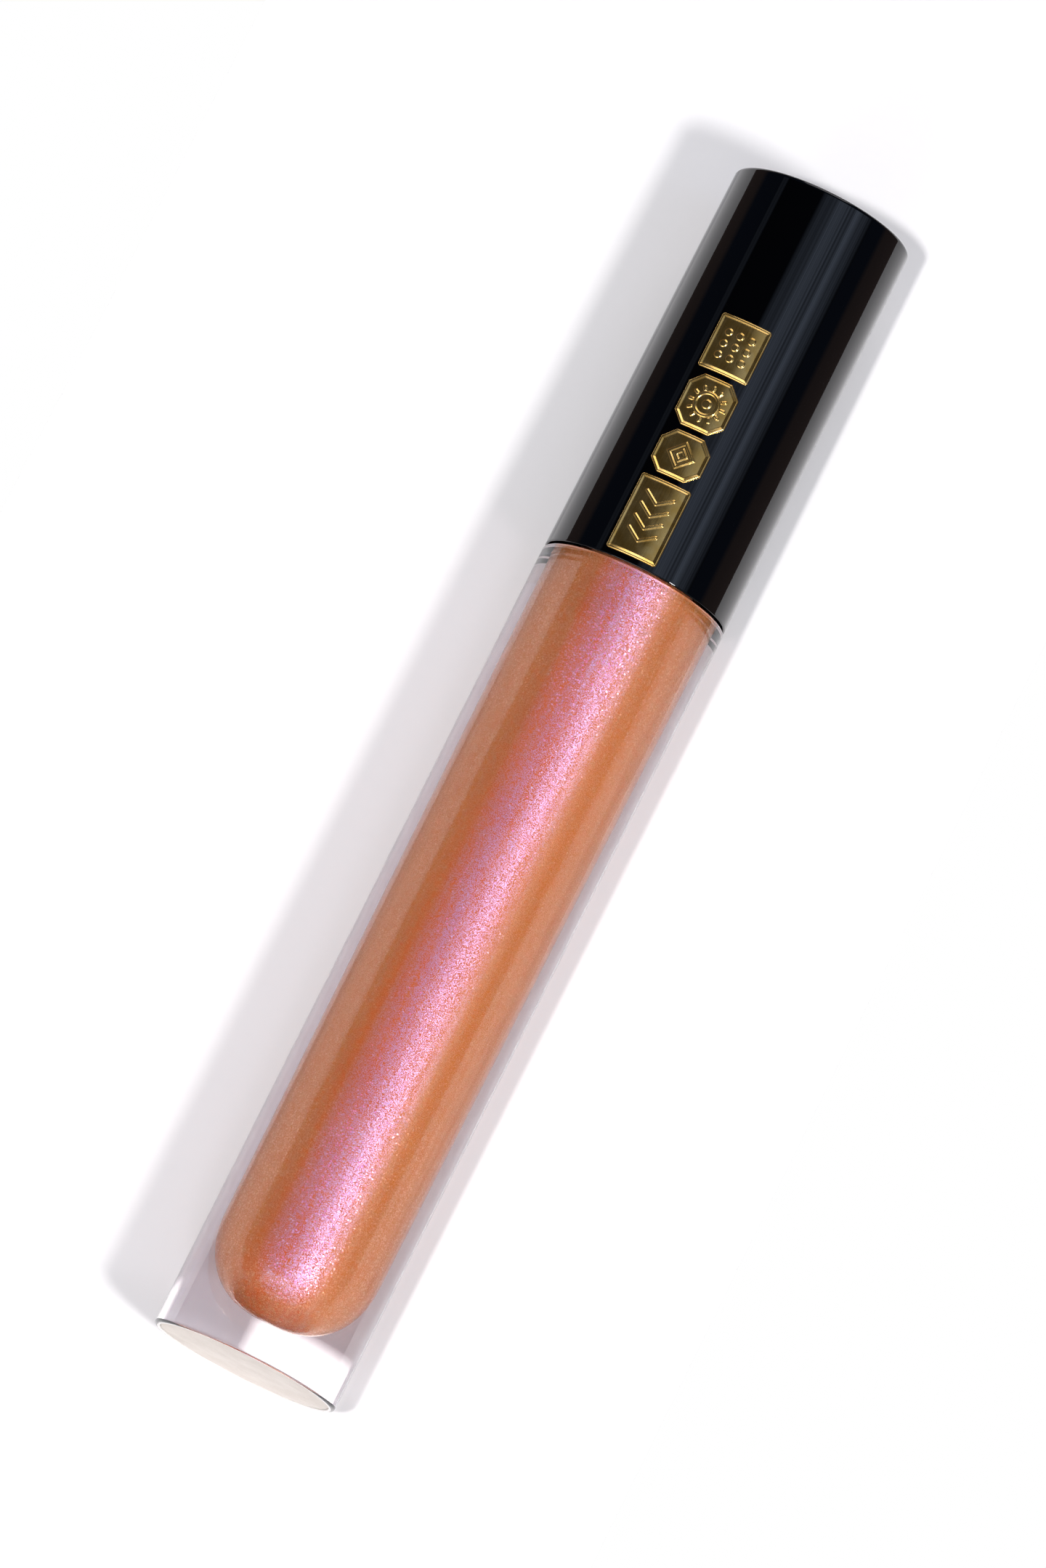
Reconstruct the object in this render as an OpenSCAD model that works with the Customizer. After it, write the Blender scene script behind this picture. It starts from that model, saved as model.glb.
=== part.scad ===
// Lip gloss tube: a thick-walled clear bottle with a rounded reservoir, a wiper in its neck,
// and a tall glossy cap that carries the wand with its doe-foot applicator.
// It stands on its base, with the tube's axis along +Z and the cap's four plates facing -Y.

/* [Bottle] */
// Height of the clear body, from the base to the shoulder
body_h = 76.5; // [66:0.5:90]
// Outer diameter of the body at the shoulder
body_top_d = 17.6; // [17.4:0.1:19]
// Outer diameter of the body at the base
body_base_d = 17.3; // [17:0.1:19]
// Radius of the rounded edge round the base
base_edge_r = 0.3; // [0.2:0.05:0.6]
// Radius of the rounded edge round the shoulder
shoulder_edge_r = 0.35; // [0.1:0.05:0.6]
// Solid plastic under the lowest point of the reservoir
base_floor = 3.9; // [2:0.1:7]
// Diameter of the reservoir at its top and through the neck
reservoir_top_d = 9.9; // [9.6:0.1:10.1]
// Diameter of the reservoir where its rounded bottom starts
reservoir_low_d = 9.4; // [9:0.1:9.6]
// Height of the reservoir's rounded bottom
reservoir_round_h = 7.5; // [5:0.5:9]

/* [Neck] */
// Height of the neck above the shoulder
neck_h = 11.5; // [10.5:0.5:12]
// Diameter of the neck between its threads
neck_d = 11.8; // [11.6:0.1:12]
// Diameter over the neck's thread
thread_d = 12.6; // [12.4:0.1:12.65]
// Distance between two turns of the thread
thread_pitch = 3; // [2.5:0.1:3.2]
// Number of turns in the thread
thread_turns = 1.25; // [1:0.25:1.5]

/* [Cap] */
// Height of the cap
cap_h = 37.85; // [36:0.05:44]
// Diameter of the cap at its rim
cap_rim_d = 17.5; // [17.3:0.1:18.5]
// Diameter of the cap at its closed end
cap_top_d = 16.95; // [16.8:0.05:18]
// Radius of the edge round the closed end
cap_edge_r = 0.3; // [0.1:0.1:0.6]
// Thickness of the cap's end wall
cap_end_wall = 1.6; // [1:0.1:2.5]

/* [Wand] */
// Diameter of the wand's rod
rod_d = 3.9; // [3.4:0.1:4]
// Diameter of the flocked applicator
flock_d = 4.1; // [3.6:0.1:4.15]
// Length of the applicator
flock_l = 14; // [12:0.5:16]
// Slant of the applicator's flat face against the wand's axis, in degrees
flock_slant = 18; // [14:1:22]
// Space between the applicator's point and the reservoir's floor
tip_gap = 5.6; // [4:0.1:8]

/* [Plates] */
// Width of each plate
plate_w = 4.8; // [4:0.1:5.4]
// Height of the plates, from the lowest one up
plate_heights = [7.4, 4.25, 5.05, 5.3]; // [4:0.05:7.6]
// Gap between two plates
plate_gap = 0.48; // [0.3:0.02:0.8]
// Distance from the cap's rim to the lowest plate
plate_start = 0.6; // [0.4:0.1:2]
// How far a plate's raised border stands out of the cap
plate_proud = 0.2; // [0.1:0.05:0.3]

/* [Hidden] */
$fn = 96;
round_points = 10;

// How far joined bodies reach into each other, and how far cutting bodies reach past what they cut.
eps = 0.02;
past = 1;

// Running gap between parts that move past each other, and the gap where a part is pushed home.
seat_gap = 0.05;
rim_gap = 0.15;
push_fit = 0.03;

// Label in the base, and the centre of the shoulder's rounded edge.
label_t = 0.15;
label_recess = 0.25;
label_margin = 0.3;
label_gap = 0.05;
base_face_r = body_base_d / 2 - base_edge_r;
shoulder_centre_r = body_top_d / 2 - shoulder_edge_r;
label_r = base_face_r - label_margin;

// Reservoir and its rounded bottom: a superellipse, flatter in the middle than an ellipse.
round_power = 2.6;
reservoir_top_r = reservoir_top_d / 2;
reservoir_low_r = reservoir_low_d / 2;
neck_top_z = body_h + neck_h;

// Wiper in the neck.
wiper_r = reservoir_top_r - push_fit;
wiper_wall = 0.8;
wiper_flange_inset = 0.25;
wiper_flange_r = neck_d / 2 - wiper_flange_inset;
wiper_flange_t = 0.7;
wiper_sleeve_h = 5;
wiper_bore_step = 0.4;
wiper_l = 8.5;
wiper_lip_h = 0.6;
wiper_lip_wall = 0.6;
orifice_gap = 0.08;
orifice_r = flock_d / 2 + orifice_gap;

// Gloss, with the well that the wand stands in.
fill_r = reservoir_top_r - push_fit;
fill_gap = 0.9;
fill_top_z = neck_top_z - wiper_l - fill_gap;
well_side_gap = 0.15;
well_floor_gap = 0.4;
well_r = flock_d / 2 + well_side_gap;
well_z = base_floor + tip_gap - well_floor_gap;

// Seal and threaded insert in the cap.
seal_z = neck_top_z + wiper_flange_t + seat_gap;
seal_t = 0.85;
seal_overhang = 0.25;
seal_r = neck_d / 2 + seal_overhang;
seal_rod_gap = 0.35;
seal_hole_r = rod_d / 2 + seal_rod_gap;
insert_roof_z = seal_z + seal_t + seat_gap;
insert_roof_t = 1.5;
insert_lift = 0.7;
insert_z = body_h + insert_lift;
insert_bore_r = 6.95;
insert_r = 7.5;
insert_crest_r = 6.42;
grip_ribs = 16;
grip_rib_w = 0.6;
grip_rib_root = 0.2;
grip_rib_proud = 0.06;
grip_rib_end = 1;
boss_r = 3.4;
boss_h = 6.1;
boss_wall = 1;
boss_top_z = insert_roof_z + insert_roof_t + boss_h;

// Outer cap.
cap_z = body_h + rim_gap;
cap_rim_chamfer = 0.12;
cap_bore_gap = 0.1;
cap_bore_r = insert_r + cap_bore_gap;
cap_upper_bore_r = 7.05;
cap_step_z = insert_roof_z + insert_roof_t + seat_gap;

// Threads.
thread_base_w = 1.3;
thread_crest_w = 0.6;
thread_root_depth = 0.2;
thread_steps = 40;
thread_fade = 0.12;
thread_least = 0.05;
thread_lift = 3.4;
neck_thread_z = body_h + thread_lift;
insert_thread_z = neck_thread_z - thread_pitch / 2;

// Wand.
tip_z = base_floor + tip_gap;
rod_seat = 0.4;
rod_z = tip_z + flock_l - rod_seat;
rod_end_gap = 0.1;
rod_top_z = boss_top_z - boss_wall - 2 * rod_end_gap;
stem_r = 1;
stem_root = 1;
stem_l = 5.2;
stem_end_gap = 0.2;
flock_t = 0.55;
slant_top = 9.4;
cutter_w = 10;
cutter_h = 30;
cutter_below = 20;

// Plates.
plate_depth = 0.15;
plate_panel = 0.05;
plate_border = 0.42;
plate_corner_r = 0.3;
octagon_corner = 1.1;
octagon_growth = 2 - sqrt(2);
press_reach = 0.5;

// Marks on the plates.
mark_height = 0.16;
line_w = 0.22;
chevron_rows = [-1.75, -0.55, 0.65, 1.85];
chevron_x = 0.64;
chevron_arm = 1.56;
chevron_angle = 35;
diamond_reaches = [1.15, 0.5];
ring_r = 1.05;
ring_centre_r = 0.36;
ray_angles = [0:30:330];
ray_start = 1.35;
ray_l = 0.3;
stud_pitch = 1.1;
stud_r = 0.3;

function cap_r(z) = (cap_rim_d + (cap_top_d - cap_rim_d) * (z - cap_z) / cap_h) / 2;
function sum_to(list, count) = count == 0 ? 0 : list[count - 1] + sum_to(list, count - 1);
function plate_low(i) = cap_z + plate_start + sum_to(plate_heights, i) + i * plate_gap;
function plate_mid(i) = plate_low(i) + plate_heights[i] / 2;

// Points of an arc in the profile plane, from angle a to angle b.
function arc(centre, r, a, b) = [
    for (i = [0:round_points])
        let (t = a + (b - a) * i / round_points)
        [centre[0] + r * cos(t), centre[1] + r * sin(t)]
];

// Profile of the reservoir's rounded bottom, from the axis outwards, drawn in by gap.
function round_bottom(gap) = [
    for (i = [0:2 * round_points])
        let (f = sin(90 * i / (2 * round_points)))
        [
            f * (reservoir_low_r - gap),
            base_floor + gap + (reservoir_round_h - gap) * (1 - sqrt(1 - pow(f, round_power)))
        ]
];

// One cross-section of a thread's rib at step i. Its depth fades in and out at the ends.
function rib_section(i, root_r, crest_r, base_z) =
    let (
        t = i / thread_steps,
        turn = 360 * thread_turns * t,
        fade = min(1, min(t, 1 - t) / thread_fade),
        tip_r = root_r + (crest_r - root_r) * max(fade, thread_least),
        z = base_z + thread_pitch * thread_turns * t
    )
    [
        for (p = [
            [root_r, -thread_base_w / 2], [tip_r, -thread_crest_w / 2],
            [tip_r, thread_crest_w / 2], [root_r, thread_base_w / 2]
        ])
            [p[0] * cos(turn), p[0] * sin(turn), z + p[1]]
    ];

module thread_rib(root_r, crest_r, base_z) {
    inward = crest_r < root_r;
    points = [
        for (i = [0:thread_steps])
            each rib_section(i, root_r, crest_r, base_z)
    ];
    sides = [
        for (i = [0:thread_steps - 1], k = [0:3])
            let (a = 4 * i + k, b = 4 * i + (k + 1) % 4, c = b + 4, d = a + 4)
            each [[a, b, c], [a, c, d]]
    ];
    first = [[0, 2, 1], [0, 3, 2]];
    n = 4 * thread_steps;
    last = [[n, n + 1, n + 2], [n, n + 2, n + 3]];
    faces = concat(sides, first, last);
    polyhedron(points, inward ? [for (f = faces) [f[2], f[1], f[0]]] : faces, convexity = 8);
}

module bottle() {
    color([0.92, 0.90, 0.95, 0.35])
        difference() {
            union() {
                rotate_extrude()
                    polygon(concat(
                        [[0, 0]],
                        arc([base_face_r, base_edge_r], base_edge_r, -90, 0),
                        arc([shoulder_centre_r, body_h - shoulder_edge_r], shoulder_edge_r, 0, 90),
                        [[neck_d / 2, body_h], [neck_d / 2, neck_top_z], [0, neck_top_z]]
                    ));
                thread_rib(neck_d / 2 - thread_root_depth, thread_d / 2, neck_thread_z);
            }
            rotate_extrude()
                polygon(concat(
                    round_bottom(0),
                    [[reservoir_top_r, body_h], [reservoir_top_r, neck_top_z + past], [0, neck_top_z + past]]
                ));
            translate([0, 0, -past])
                cylinder(h = label_recess + past, r = label_r + label_gap);
        }
}

module base_label() {
    color([0.91, 0.88, 0.84])
        translate([0, 0, label_recess - label_t])
            cylinder(h = label_t, r = label_r);
}

module gloss_fill() {
    color([0.80, 0.42, 0.30])
        difference() {
            rotate_extrude()
                polygon(concat(
                    round_bottom(push_fit),
                    [[fill_r, body_h], [fill_r, fill_top_z], [0, fill_top_z]]
                ));
            translate([0, 0, well_z + well_r])
                cylinder(h = fill_top_z, r = well_r);
            translate([0, 0, well_z + well_r])
                sphere(r = well_r);
        }
}

module wiper() {
    bore_r = wiper_r - wiper_wall;
    color([0.94, 0.93, 0.90])
        translate([0, 0, neck_top_z])
            rotate_extrude()
                polygon([
                    [wiper_r, 0], [wiper_r, -wiper_sleeve_h],
                    [orifice_r + wiper_lip_wall, -wiper_l], [orifice_r, -wiper_l],
                    [orifice_r, wiper_lip_h - wiper_l], [bore_r, wiper_bore_step - wiper_sleeve_h],
                    [bore_r, wiper_flange_t], [wiper_flange_r, wiper_flange_t], [wiper_flange_r, 0]
                ]);
}

module cap_seal() {
    color([0.85, 0.85, 0.83])
        translate([0, 0, seal_z])
            difference() {
                cylinder(h = seal_t, r = seal_r);
                translate([0, 0, -past])
                    cylinder(h = seal_t + 2 * past, r = seal_hole_r);
            }
}

module inner_cap() {
    roof_top_z = insert_roof_z + insert_roof_t;
    color([0.10, 0.10, 0.11])
        difference() {
            union() {
                difference() {
                    translate([0, 0, insert_z])
                        cylinder(h = roof_top_z - insert_z, r = insert_r);
                    translate([0, 0, insert_z - past])
                        cylinder(h = insert_roof_z - insert_z + past, r = insert_bore_r);
                }
                translate([0, 0, roof_top_z - eps])
                    cylinder(h = boss_h + eps, r = boss_r);
                thread_rib(insert_bore_r + thread_root_depth, insert_crest_r, insert_thread_z);
                for (i = [0:grip_ribs - 1])
                    rotate([0, 0, 360 * i / grip_ribs])
                        translate([insert_r - grip_rib_root, -grip_rib_w / 2, insert_z + grip_rib_end])
                            cube([
                                grip_rib_root + grip_rib_proud,
                                grip_rib_w,
                                roof_top_z - insert_z - 2 * grip_rib_end
                            ]);
            }
            translate([0, 0, insert_roof_z - past])
                cylinder(h = rod_top_z + rod_end_gap - insert_roof_z + past, r = rod_d / 2 + eps);
        }
}

module outer_cap() {
    color([0.03, 0.03, 0.04])
        difference() {
            translate([0, 0, cap_z])
                rotate_extrude()
                    polygon(concat(
                        [[0, 0], [cap_rim_d / 2 - cap_rim_chamfer, 0], [cap_rim_d / 2, cap_rim_chamfer]],
                        arc([cap_top_d / 2 - cap_edge_r, cap_h - cap_edge_r], cap_edge_r, 0, 90),
                        [[0, cap_h]]
                    ));
            translate([0, 0, cap_z - past])
                cylinder(h = cap_step_z - cap_z + past, r = cap_bore_r);
            translate([0, 0, cap_z - past])
                cylinder(h = cap_h - cap_end_wall + past, r = cap_upper_bore_r);
            for (i = [0:3])
                on_cap(i, -plate_depth, past)
                    plate_outline(i, push_fit);
        }
}

module wand_rod() {
    color([0.08, 0.08, 0.09])
        difference() {
            translate([0, 0, rod_z])
                cylinder(h = rod_top_z - rod_z, r = rod_d / 2);
            translate([0, 0, rod_z - past])
                cylinder(h = stem_l + stem_end_gap + past, r = stem_r + eps);
        }
}

// A round-ended finger with a slanted flat face on its +X side, drawn in by inset all over.
module doe_foot(inset) {
    r = flock_d / 2 - inset;
    translate([0, 0, tip_z])
        difference() {
            union() {
                translate([0, 0, r + inset])
                    cylinder(h = flock_l - r - inset, r = r);
                translate([0, 0, r + inset])
                    sphere(r = r);
            }
            translate([flock_d / 2 - inset / cos(flock_slant), -cutter_w / 2, slant_top])
                rotate([0, flock_slant, 0])
                    translate([0, 0, -cutter_below])
                        cube([cutter_w, cutter_w, cutter_h]);
        }
}

module applicator_core() {
    color([0.90, 0.87, 0.84])
        union() {
            difference() {
                doe_foot(flock_t);
                translate([-cutter_w / 2, -cutter_w / 2, rod_z - eps])
                    cube(cutter_w);
            }
            translate([0, 0, rod_z - stem_root])
                cylinder(h = stem_l + stem_root, r = stem_r);
        }
}

module applicator_flocking() {
    color([0.86, 0.60, 0.52])
        difference() {
            doe_foot(0);
            doe_foot(flock_t);
            translate([-cutter_w / 2, -cutter_w / 2, rod_z])
                cube(cutter_w);
        }
}

// Outlines of the plates, in the plane that faces -Y. Plates 0 and 3 have round corners, 1 and 2 cut corners.
module plate_outline(i, grow) {
    w = plate_w + 2 * grow;
    h = plate_heights[i] + 2 * grow;
    if (i == 0 || i == 3)
        rounded_rectangle(w, h, plate_corner_r + max(grow, 0));
    else
        cut_rectangle(w, h, octagon_corner + octagon_growth * grow);
}

module rounded_rectangle(w, h, r) {
    square([w, h - 2 * r], center = true);
    square([w - 2 * r, h], center = true);
    for (x = [-1, 1], y = [-1, 1])
        translate([x * (w / 2 - r), y * (h / 2 - r)])
            circle(r = r);
}

module cut_rectangle(w, h, c) {
    x = w / 2;
    y = h / 2;
    polygon([
        [x - c, -y], [x, c - y], [x, y - c], [x - c, y],
        [c - x, y], [-x, y - c], [-x, c - y], [c - x, -y]
    ]);
}

// Presses an outline onto the cap's surface at plate i, between two heights over that surface.
module on_cap(i, low, high) {
    z_low = plate_low(i) - press_reach;
    z_high = plate_low(i) + plate_heights[i] + press_reach;
    intersection() {
        rotate_extrude()
            polygon([
                [cap_r(z_low) + low, z_low], [cap_r(z_low) + high, z_low],
                [cap_r(z_high) + high, z_high], [cap_r(z_high) + low, z_high]
            ]);
        translate([0, 0, plate_mid(i)])
            rotate([90, 0, 0])
                linear_extrude(height = cap_rim_d)
                    children();
    }
}

// A plate with a raised border. Its children are the raised mark in its middle.
module plate(i) {
    color([0.66, 0.52, 0.22])
        union() {
            on_cap(i, -plate_depth, plate_panel)
                plate_outline(i, 0);
            on_cap(i, -plate_depth, plate_proud)
                difference() {
                    plate_outline(i, 0);
                    plate_outline(i, -plate_border);
                }
            on_cap(i, -plate_depth, mark_height)
                children();
        }
}

module bar(angle, length) {
    rotate(angle)
        square([length, line_w], center = true);
}

module plate_chevrons() {
    plate(0)
        for (y = chevron_rows, side = [-1, 1])
            translate([side * chevron_x, y])
                bar(side * chevron_angle, chevron_arm);
}

module diamond(reach) {
    side = reach * sqrt(2);
    rotate(45)
        difference() {
            square(side + line_w, center = true);
            square(side - line_w, center = true);
        }
}

module plate_diamond() {
    plate(1)
        for (reach = diamond_reaches)
            diamond(reach);
}

module plate_ring() {
    plate(2) {
        difference() {
            circle(r = ring_r + line_w / 2);
            circle(r = ring_r - line_w / 2);
        }
        circle(r = ring_centre_r);
        for (a = ray_angles)
            rotate(a)
                translate([ray_start + ray_l / 2, 0])
                    bar(0, ray_l);
    }
}

module plate_studs() {
    plate(3)
        for (x = [-1:1], y = [-1:1])
            translate([stud_pitch * x, stud_pitch * y])
                circle(r = stud_r);
}

bottle();
base_label();
gloss_fill();
wiper();
cap_seal();
inner_cap();
outer_cap();
wand_rod();
applicator_core();
applicator_flocking();
plate_chevrons();
plate_diamond();
plate_ring();
plate_studs();
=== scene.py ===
import math

import bmesh
import bpy
import numpy as np
from mathutils import Matrix, Vector


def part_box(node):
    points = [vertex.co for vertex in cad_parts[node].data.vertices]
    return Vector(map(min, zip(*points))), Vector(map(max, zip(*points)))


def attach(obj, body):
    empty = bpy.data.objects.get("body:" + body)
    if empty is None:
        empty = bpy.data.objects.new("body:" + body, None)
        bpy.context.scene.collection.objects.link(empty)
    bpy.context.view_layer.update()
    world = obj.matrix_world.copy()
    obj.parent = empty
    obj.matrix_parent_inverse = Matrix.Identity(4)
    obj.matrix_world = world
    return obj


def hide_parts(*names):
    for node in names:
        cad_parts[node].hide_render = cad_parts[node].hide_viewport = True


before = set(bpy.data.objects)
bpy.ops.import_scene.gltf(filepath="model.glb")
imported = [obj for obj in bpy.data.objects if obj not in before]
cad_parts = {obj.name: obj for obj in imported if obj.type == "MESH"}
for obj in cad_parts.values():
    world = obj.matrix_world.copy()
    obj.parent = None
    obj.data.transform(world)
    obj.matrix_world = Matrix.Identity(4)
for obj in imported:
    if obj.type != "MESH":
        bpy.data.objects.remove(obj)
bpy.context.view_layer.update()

MM = 0.001
SEGMENTS = 192


# ---------------------------------------------------------------- sizes from the frame, in millimetres

def low(name):
    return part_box(name)[0] / MM


def high(name):
    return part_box(name)[1] / MM


# Measured on the frame
SHOULDER_R = high("bottle").x
NECK_TOP = high("bottle").z
CAP_RIM = low("outer_cap").z
CAP_TOP = high("outer_cap").z
CAP_RIM_R = high("outer_cap").x
LABEL_R = high("base_label").x
LABEL_LOW = low("base_label").z
LABEL_HIGH = high("base_label").z
FLOOR_OF_RESERVOIR = low("gloss_fill").z - 0.03
FILL_TOP = high("gloss_fill").z
SEAL_LOW = low("cap_seal").z
SEAL_HIGH = high("cap_seal").z
SEAL_R = high("cap_seal").x
INSERT_LOW = low("inner_cap").z
INSERT_TOP = high("inner_cap").z
ROD_R = high("wand_rod").x
ROD_LOW = low("wand_rod").z
ROD_TOP = high("wand_rod").z
TIP_LOW = low("applicator_flocking").z
TIP_TOP = high("applicator_flocking").z
TIP_LENGTH = TIP_TOP - TIP_LOW

# The rest of the CAD model's sizes, which no node's box shows
CAP_TAPER = 0.275
CAP_TOP_R = CAP_RIM_R - CAP_TAPER
CAP_GAP = 0.15
SHOULDER = CAP_RIM - CAP_GAP
SHOULDER_EDGE = 0.35
BODY_TAPER = 0.15
BASE_R = SHOULDER_R - BODY_TAPER
BASE_EDGE = 0.3
NECK_R = 5.9
THREAD_R = 6.3
THREAD_PITCH = 3.0
THREAD_TURNS = 1.25
THREAD_START = SHOULDER + 3.4
RESERVOIR_TOP_R = 4.95
RESERVOIR_LOW_R = 4.7
RESERVOIR_ROUND = 7.5
RESERVOIR_POWER = 2.6
ORIFICE_R = 2.13
INSERT_R = 7.5
INSERT_BORE_R = 6.95
INSERT_ROOF = SEAL_HIGH + 0.05
BOSS_LOW = INSERT_ROOF + 1.5
BOSS_R = 3.4


def cap_radius(z):
    """The cap's outer radius at a height."""
    return CAP_RIM_R + (CAP_TOP_R - CAP_RIM_R) * (z - CAP_RIM) / (CAP_TOP - CAP_RIM)


# ---------------------------------------------------------------- mesh helpers

def arc(centre_r, centre_z, radius, start, end, steps):
    """Points of a round edge in the (radius, height) plane; angles in degrees."""
    angles = np.radians(np.linspace(start, end, steps + 1))
    return [(centre_r + radius * math.cos(a), centre_z + radius * math.sin(a)) for a in angles]


def supported(profile):
    """The profile with loops beside its corners and along its long stretches, to keep their shading flat."""
    longest, edge = 2.0, 0.06
    points = [profile[0]]
    for (r0, z0), (r1, z1) in zip(profile, profile[1:]):
        length = math.hypot(r1 - r0, z1 - z0)
        if length < 1e-6:
            continue
        if length > 4 * edge:
            count = max(1, math.ceil((length - 2 * edge) / longest))
            cuts = [edge / length + (1 - 2 * edge / length) * i / count for i in range(count + 1)]
            points += [(r0 + (r1 - r0) * t, z0 + (z1 - z0) * t) for t in cuts]
        points.append((r1, z1))
    return points


def mesh_object(name, verts, faces, material, sharp=35):
    """A smooth-shaded object from points in millimetres. Edges over sharp degrees stay crisp."""
    mesh = bpy.data.meshes.new(name)
    mesh.from_pydata([tuple(v) for v in np.asarray(verts) * MM], [], [tuple(f) for f in faces])
    mesh.validate()
    mesh.shade_smooth()
    mesh.set_sharp_from_angle(angle=math.radians(sharp))
    mesh.materials.append(material)
    obj = bpy.data.objects.new(name, mesh)
    bpy.context.scene.collection.objects.link(obj)
    return obj


def ring_faces(rings, around, closed=False):
    """Quads between neighbouring rings of points. If closed, the last ring joins the first."""
    faces = []
    for i in range(rings if closed else rings - 1):
        a, b = i * around, ((i + 1) % rings) * around
        for j in range(around):
            k = (j + 1) % around
            faces.append((a + j, a + k, b + k, b + j))
    return faces


def pole_faces(rings, around):
    """Triangles that close the first and the last ring on two points, which follow the rings' own."""
    low_pole, high_pole, top = rings * around, rings * around + 1, (rings - 1) * around
    faces = []
    for j in range(around):
        k = (j + 1) % around
        faces.append((low_pole, k, j))
        faces.append((high_pole, top + j, top + k))
    return faces


def turned(name, profile, material, reshape=None, segments=SEGMENTS):
    """A turned solid. Its profile runs anticlockwise in (radius, height), from axis to axis or round a closed
    ring. reshape(r, z, angle) gives new radii, for threads."""
    on_axis = profile[0][0] < 1e-9
    rings = profile[1:-1] if on_axis else profile
    r = np.array([p[0] for p in rings])[:, None] * np.ones(segments)
    z = np.array([p[1] for p in rings])[:, None] * np.ones(segments)
    angle = np.linspace(0, 2 * math.pi, segments, endpoint=False) * np.ones_like(r)
    if reshape:
        r = reshape(r, z, angle)
    verts = np.stack([r * np.cos(angle), r * np.sin(angle), z], -1).reshape(-1, 3).tolist()
    faces = ring_faces(len(rings), segments, closed=not on_axis)
    if on_axis:
        verts += [(0, 0, profile[0][1]), (0, 0, profile[-1][1])]
        faces += pole_faces(len(rings), segments)
    return mesh_object(name, verts, faces, material)


def smooth(x):
    """Rises smoothly from 0 to 1 as x does."""
    x = np.clip(x, 0, 1)
    return x * x * (3 - 2 * x)


def thread_height(z, angle, start):
    """How much of the thread's full height stands at a point, from 0 to 1."""
    half_width, steepness, run_out = 0.65, 1.35, 0.08
    height = np.zeros_like(z)
    for lap in range(math.ceil(THREAD_TURNS) + 1):
        along = (angle / (2 * math.pi) + lap) / THREAD_TURNS
        centre = start + THREAD_PITCH * THREAD_TURNS * along
        ridge = smooth(steepness * (1 - np.abs(z - centre) / half_width))
        fade = smooth(np.minimum(along, 1 - along) / run_out)
        height = np.maximum(height, ridge * fade)
    return height


def on_wall(r, z, wall_r, bottom, top, margin):
    """Which points lie on an upright wall, clear of its ends."""
    return (np.abs(r - wall_r) < 0.01) & (z > bottom + margin) & (z < top - margin)


# ---------------------------------------------------------------- material helpers

def material(name):
    """A new material with an empty node tree, and the tree."""
    made = bpy.data.materials.new(name)
    made.use_nodes = True
    made.node_tree.nodes.clear()
    return made, made.node_tree


def node(tree, kind, inputs=None, **settings):
    """A new shader node. An input is a value, or another node's output to link."""
    made = tree.nodes.new("ShaderNode" + kind)
    for key, value in settings.items():
        setattr(made, key, value)
    for key, value in (inputs or {}).items():
        if isinstance(value, bpy.types.NodeSocket):
            tree.links.new(value, made.inputs[key])
        else:
            made.inputs[key].default_value = value
    return made


def math_node(tree, operation, a, b=0.0):
    return node(tree, "Math", {0: a, 1: b}, operation=operation).outputs[0]


def blend_colour(tree, factor, a, b):
    return node(tree, "Mix", {0: factor, 6: a, 7: b}, data_type="RGBA").outputs[2]


def blend_number(tree, factor, a, b):
    return node(tree, "Mix", {0: factor, 2: a, 3: b}, data_type="FLOAT").outputs[0]


def rgb(r, g, b):
    return (r, g, b, 1.0)


def local_coords(tree, stretch=(1, 1, 1)):
    coords = node(tree, "TexCoord").outputs["Object"]
    return node(tree, "Mapping", {"Vector": coords, "Scale": stretch}).outputs[0]


def noise(tree, coords, scale, detail):
    return node(tree, "TexNoise", {"Vector": coords, "Scale": scale, "Detail": detail}).outputs["Fac"]


def spread(tree, value, low_in, high_in, low_out, high_out):
    """Maps one range onto another, clamped at both ends."""
    inputs = {0: value, 1: low_in, 2: high_in, 3: low_out, 4: high_out}
    return node(tree, "MapRange", inputs).outputs[0]


def bump(tree, height, distance, strength):
    return node(tree, "Bump", {"Height": height, "Distance": distance, "Strength": strength}).outputs[0]


def principled(tree, **inputs):
    """The Principled shader, with its inputs named in lower case."""
    named = {key.replace("_", " ").title().replace("Ior", "IOR"): value for key, value in inputs.items()}
    return node(tree, "BsdfPrincipled", named).outputs[0]


def finish_material(tree, shader):
    node(tree, "OutputMaterial", {"Surface": shader})


# ---------------------------------------------------------------- materials

def clear_plastic():
    """Polished clear plastic, with the faint waviness of a moulding. Lamps shine through it, dimmed, to what
    it holds, and matt surfaces see straight through it."""
    made, tree = material("clear_plastic")
    waves = noise(tree, local_coords(tree, (1, 1, 0.25)), 260, 1.0)
    glass = principled(
        tree, base_color=rgb(0.985, 0.975, 0.99), roughness=0.0, ior=1.57, transmission_weight=1.0,
        normal=bump(tree, waves, 0.00002, 0.12),
    )
    inside = node(tree, "NewGeometry").outputs["Backfacing"]
    tint = blend_colour(tree, inside, rgb(0.12, 0.11, 0.12), rgb(1, 1, 1))
    to_lamp = node(tree, "BsdfTransparent", {"Color": tint}).outputs[0]
    straight = node(tree, "BsdfTransparent").outputs[0]
    ray = node(tree, "LightPath").outputs
    lit = node(tree, "MixShader", {0: ray["Is Shadow Ray"], 1: glass, 2: to_lamp}).outputs[0]
    shader = node(tree, "MixShader", {0: ray["Is Diffuse Ray"], 1: lit, 2: straight}).outputs[0]
    finish_material(tree, shader)
    return made


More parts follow.
